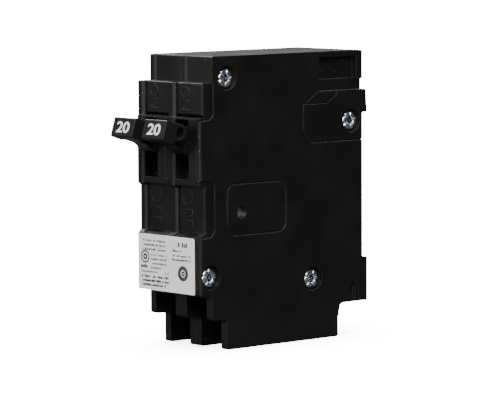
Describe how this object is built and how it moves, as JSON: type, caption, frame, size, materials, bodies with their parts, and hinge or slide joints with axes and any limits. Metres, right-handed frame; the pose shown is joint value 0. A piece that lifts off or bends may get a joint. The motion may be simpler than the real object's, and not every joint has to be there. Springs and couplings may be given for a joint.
{
  "type": "tandem plug-in circuit breaker",
  "caption": "Tandem plug-in circuit breaker: two narrow toggle poles riveted side by side, with a bus slot at the rear and screw terminals below the label.",
  "frame": {"origin": "centre of the bounding box in X and Y, on the flat terminal end that the part stands on", "axes": "+Z to the bus (line) end, -Y out of the front where the handles are, +X to the right seen from the front"},
  "size_m": [0.0254, 0.0725, 0.0786],
  "materials": {
    "case_moulding": "fine-grained moulded thermoset, semi-gloss",
    "handle_moulding": "smooth moulded thermoset with a white hot-stamped number",
    "rivet_zinc": "bright zinc plating",
    "plated_steel": "zinc plated",
    "spring_steel": "bright drawn wire",
    "copper": "bare copper",
    "tinned_copper": "dull tin plating",
    "silver_contact": "silver alloy",
    "brass": "bare brass strip",
    "bimetal_strip": "rolled strip",
    "fibre_board": "vulcanised fibre",
    "label_paper": "printed paper label"
  },
  "bodies": {
    "case": {"left_cover": "case_moulding", "left_base": "case_moulding", "left_line_jaw": "tinned_copper", "left_fixed_contact": "silver_contact", "left_arc_plates": "plated_steel", "left_arc_card": "fibre_board", "left_bimetal": "bimetal_strip", "left_magnet_yoke": "plated_steel", "left_flexible_braid": "copper", "left_load_terminal": "brass", "left_calibration_screw": "plated_steel", "right_cover": "case_moulding", "right_base": "case_moulding", "right_line_jaw": "tinned_copper", "right_fixed_contact": "silver_contact", "right_arc_plates": "plated_steel", "right_arc_card": "fibre_board", "right_bimetal": "bimetal_strip", "right_magnet_yoke": "plated_steel", "right_flexible_braid": "copper", "right_load_terminal": "brass", "right_calibration_screw": "plated_steel", "case_rivets": "rivet_zinc", "rating_label": "label_paper"},
    "left_toggle": {"left_handle": "handle_moulding"},
    "left_arm": {"left_contact_arm": "copper", "left_moving_contact": "silver_contact"},
    "left_trip_lever": {"left_cradle": "plated_steel", "left_operating_spring": "spring_steel"},
    "left_latch": {"left_armature": "plated_steel"},
    "left_clamp": {"left_clamp_plate": "plated_steel"},
    "left_screw": {"left_terminal_screw": "plated_steel"},
    "right_toggle": {"right_handle": "handle_moulding"},
    "right_arm": {"right_contact_arm": "copper", "right_moving_contact": "silver_contact"},
    "right_trip_lever": {"right_cradle": "plated_steel", "right_operating_spring": "spring_steel"},
    "right_latch": {"right_armature": "plated_steel"},
    "right_clamp": {"right_clamp_plate": "plated_steel"},
    "right_screw": {"right_terminal_screw": "plated_steel"}
  },
  "joints": [
    {"name": "left_handle_toggle", "type": "hinge", "parent": "case", "child": "left_toggle", "pos_m": [-0.00705, -0.01498, 0.0534], "axis": [1, 0, 0], "range_deg": [0, 34.6]},
    {"name": "left_arm_swing", "type": "hinge", "parent": "left_toggle", "child": "left_arm", "pos_m": [-0.0051, -0.00734, 0.05102], "axis": [1, 0, 0], "range_deg": [-66.6, 0], "deforming": ["left_operating_spring", "left_flexible_braid"]},
    {"name": "left_latch_tilt", "type": "hinge", "parent": "case", "child": "left_latch", "pos_m": [-0.0062, 0.00482, 0.0215], "axis": [1, 0, 0], "range_deg": [-6, 0], "stiffness_Nm_per_rad": 0.01, "springref_deg": 5.73},
    {"name": "left_trip_fall", "type": "hinge", "parent": "case", "child": "left_trip_lever", "pos_m": [-0.0098, -0.01758, 0.0449], "axis": [1, 0, 0], "range_deg": [-18, 0], "deforming": ["left_operating_spring"]},
    {"name": "left_clamp_slide", "type": "slide", "parent": "case", "child": "left_clamp", "axis": [0, 1, 0], "range_m": [0, 0.0019]},
    {"name": "left_screw_turn", "type": "hinge", "parent": "left_clamp", "child": "left_screw", "pos_m": [-0.00635, -0.00568, 0.008], "axis": [0, 1, 0], "range_deg": [0, 860]},
    {"name": "right_handle_toggle", "type": "hinge", "parent": "case", "child": "right_toggle", "pos_m": [0.0057, -0.01498, 0.0534], "axis": [1, 0, 0], "range_deg": [0, 34.6]},
    {"name": "right_arm_swing", "type": "hinge", "parent": "right_toggle", "child": "right_arm", "pos_m": [0.00765, -0.00734, 0.05102], "axis": [1, 0, 0], "range_deg": [-66.6, 0], "deforming": ["right_operating_spring", "right_flexible_braid"]},
    {"name": "right_latch_tilt", "type": "hinge", "parent": "case", "child": "right_latch", "pos_m": [0.00655, 0.00482, 0.0215], "axis": [1, 0, 0], "range_deg": [-6, 0], "stiffness_Nm_per_rad": 0.01, "springref_deg": 5.73},
    {"name": "right_trip_fall", "type": "hinge", "parent": "case", "child": "right_trip_lever", "pos_m": [0.00295, -0.01758, 0.0449], "axis": [1, 0, 0], "range_deg": [-18, 0], "deforming": ["right_operating_spring"]},
    {"name": "right_clamp_slide", "type": "slide", "parent": "case", "child": "right_clamp", "axis": [0, 1, 0], "range_m": [0, 0.0019]},
    {"name": "right_screw_turn", "type": "hinge", "parent": "right_clamp", "child": "right_screw", "pos_m": [0.0064, -0.00568, 0.008], "axis": [0, 1, 0], "range_deg": [0, 860]}
  ],
  "couplings": [
    {"joint": "left_arm_swing", "follows": "left_handle_toggle", "ratio": -1.92},
    {"joint": "left_trip_fall", "follows": "left_latch_tilt", "ratio": 3},
    {"joint": "left_clamp_slide", "follows": "left_screw_turn", "m_per_rad": 0.00012637},
    {"joint": "right_arm_swing", "follows": "right_handle_toggle", "ratio": -1.92},
    {"joint": "right_trip_fall", "follows": "right_latch_tilt", "ratio": 3},
    {"joint": "right_clamp_slide", "follows": "right_screw_turn", "m_per_rad": 0.00012637}
  ]
}
